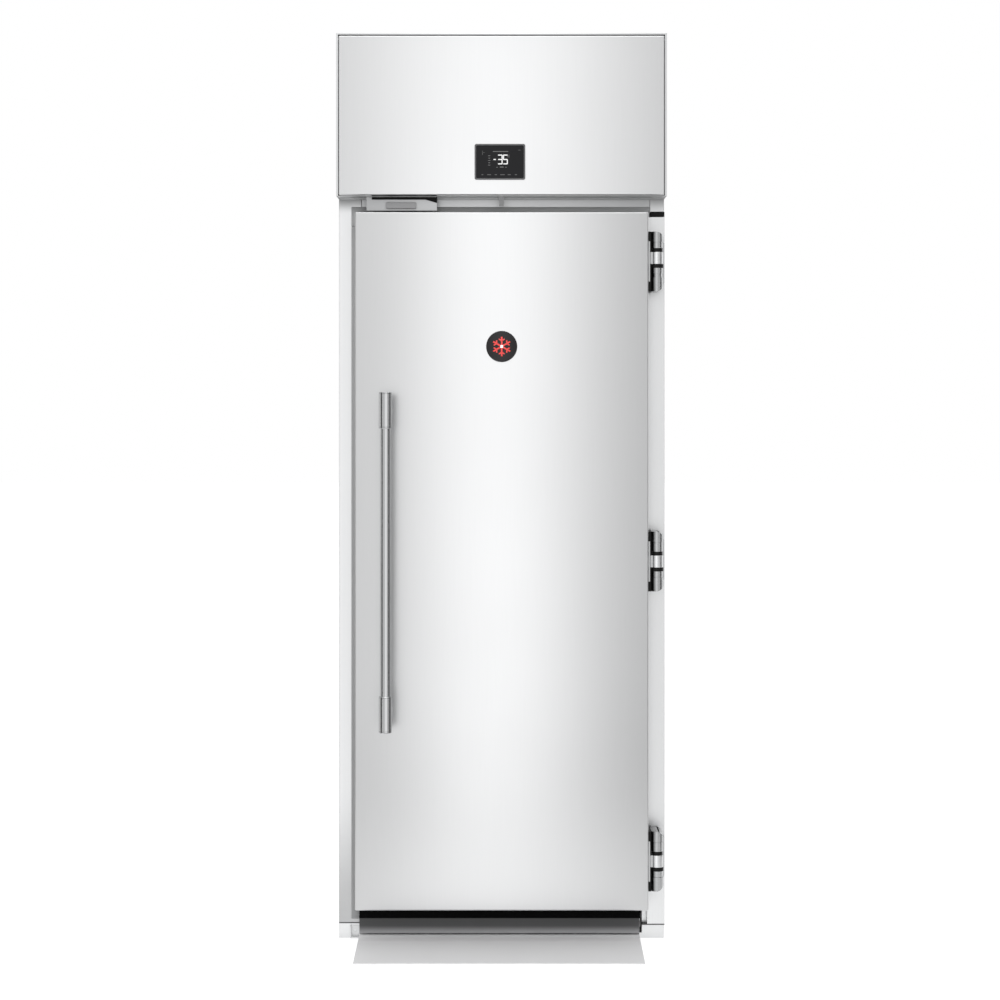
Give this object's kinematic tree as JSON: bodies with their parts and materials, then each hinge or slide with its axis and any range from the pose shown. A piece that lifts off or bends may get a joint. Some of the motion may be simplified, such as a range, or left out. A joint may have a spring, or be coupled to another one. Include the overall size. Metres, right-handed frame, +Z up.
{
  "type": "blast chiller",
  "caption": "Roll-in blast chiller cabinet with a tall hinged insulated door, entry ramp, bar handle and a roof unit behind a cowl.",
  "frame": {"origin": "on the floor, at the centre of the footprint from the nose of the ramp to the end of the drain pipe", "axes": "+Z up, the door faces -Y, +X towards the hinge side"},
  "size_m": [0.85, 1.39, 2.35],
  "materials": {
    "stainless": "satin",
    "liner_steel": "satin",
    "foam": "matte",
    "surround": "satin",
    "gasket_rubber": "matte",
    "black_rubber": "matte",
    "bracket_steel": "satin",
    "switch_plastic": "matte",
    "black_plastic": "satin",
    "hinge_chrome": "polished",
    "hinge_steel": "satin",
    "handle_steel": "satin",
    "display_glass": "gloss",
    "badge_black": "gloss",
    "galvanised": "satin",
    "coil_fins": "satin",
    "fan_aluminium": "satin",
    "motor_paint": "satin",
    "guard_wire": "satin",
    "copper": "satin",
    "board_green": "satin",
    "drain_grey": "matte"
  },
  "bodies": {
    "root": {"floor_panel": "stainless", "left_wall": "liner_steel", "right_wall": "liner_steel", "rear_wall": "liner_steel", "roof_panel": "liner_steel", "panel_foam": "foam", "header_panel": "stainless", "left_jamb": "stainless", "right_jamb": "stainless", "door_surround": "surround", "hinge_post": "stainless", "post_end_seal": "black_rubber", "ramp": "stainless", "ramp_lug": "bracket_steel", "bumper_rails": "liner_steel", "fan_panel": "liner_steel", "fan_guards": "guard_wire", "fan_motors": "motor_paint", "evaporator_coil": "coil_fins", "drip_tray": "liner_steel", "drain_pipe": "drain_grey", "probe_socket": "black_plastic", "left_casing": "stainless", "right_casing": "stainless", "top_cover": "stainless", "rear_grille": "galvanised", "cowl_soffit": "bracket_steel", "switch_bracket": "bracket_steel", "door_switch": "switch_plastic", "cowl_catch": "bracket_steel", "cowl_pins": "bracket_steel", "compressor": "motor_paint", "compressor_mounts": "black_rubber", "condenser_coil": "coil_fins", "condenser_shroud": "galvanised", "liquid_receiver": "motor_paint", "refrigerant_lines": "copper", "electrical_box": "galvanised", "mains_gland": "black_plastic", "hinge_brackets": "hinge_chrome", "hinge_bushes": "black_plastic"},
    "cowl": {"cowl_front": "stainless", "display_bezel": "black_plastic", "display_glass": "display_glass", "control_board": "board_green"},
    "hinge_pins": {"hinge_pins": "hinge_steel"},
    "door": {"hinge_leaves": "hinge_steel", "hinge_trims": "black_plastic", "door_skin": "stainless", "door_foam": "foam", "door_liner": "liner_steel", "door_gasket": "gasket_rubber", "door_sweep": "black_rubber", "handle_tube": "handle_steel", "handle_mounts": "handle_steel", "door_badge": "badge_black"},
    "fan_1": {"fan_1": "fan_aluminium"},
    "fan_2": {"fan_2": "fan_aluminium"},
    "fan_3": {"fan_3": "fan_aluminium"},
    "condenser_fan": {"condenser_fan": "fan_aluminium"}
  },
  "joints": [
    {"name": "door_rise", "type": "slide", "parent": "root", "child": "hinge_pins", "axis": [0, 0, 1], "range_m": [0, 0.008]},
    {"name": "door_swing", "type": "hinge", "parent": "hinge_pins", "child": "door", "pos_m": [0.402, -0.485, 0.991], "axis": [0, 0, 1], "range_deg": [0, 110]},
    {"name": "cowl_lift", "type": "hinge", "parent": "root", "child": "cowl", "pos_m": [0, -0.508, 2.334], "axis": [-1, 0, 0], "range_deg": [0, 80]},
    {"name": "fan_1_spin", "type": "hinge", "parent": "root", "child": "fan_1", "pos_m": [0, 0.32, 0.43], "axis": [0, -1, 0], "continuous": true},
    {"name": "fan_2_spin", "type": "hinge", "parent": "root", "child": "fan_2", "pos_m": [0, 0.32, 0.95], "axis": [0, -1, 0], "continuous": true},
    {"name": "fan_3_spin", "type": "hinge", "parent": "root", "child": "fan_3", "pos_m": [0, 0.32, 1.47], "axis": [0, -1, 0], "continuous": true},
    {"name": "condenser_fan_spin", "type": "hinge", "parent": "root", "child": "condenser_fan", "pos_m": [0.17, 0.415, 2.121], "axis": [0, 1, 0], "continuous": true}
  ],
  "couplings": [
    {"joint": "door_rise", "follows": "door_swing", "m_per_rad": 0.004166}
  ]
}
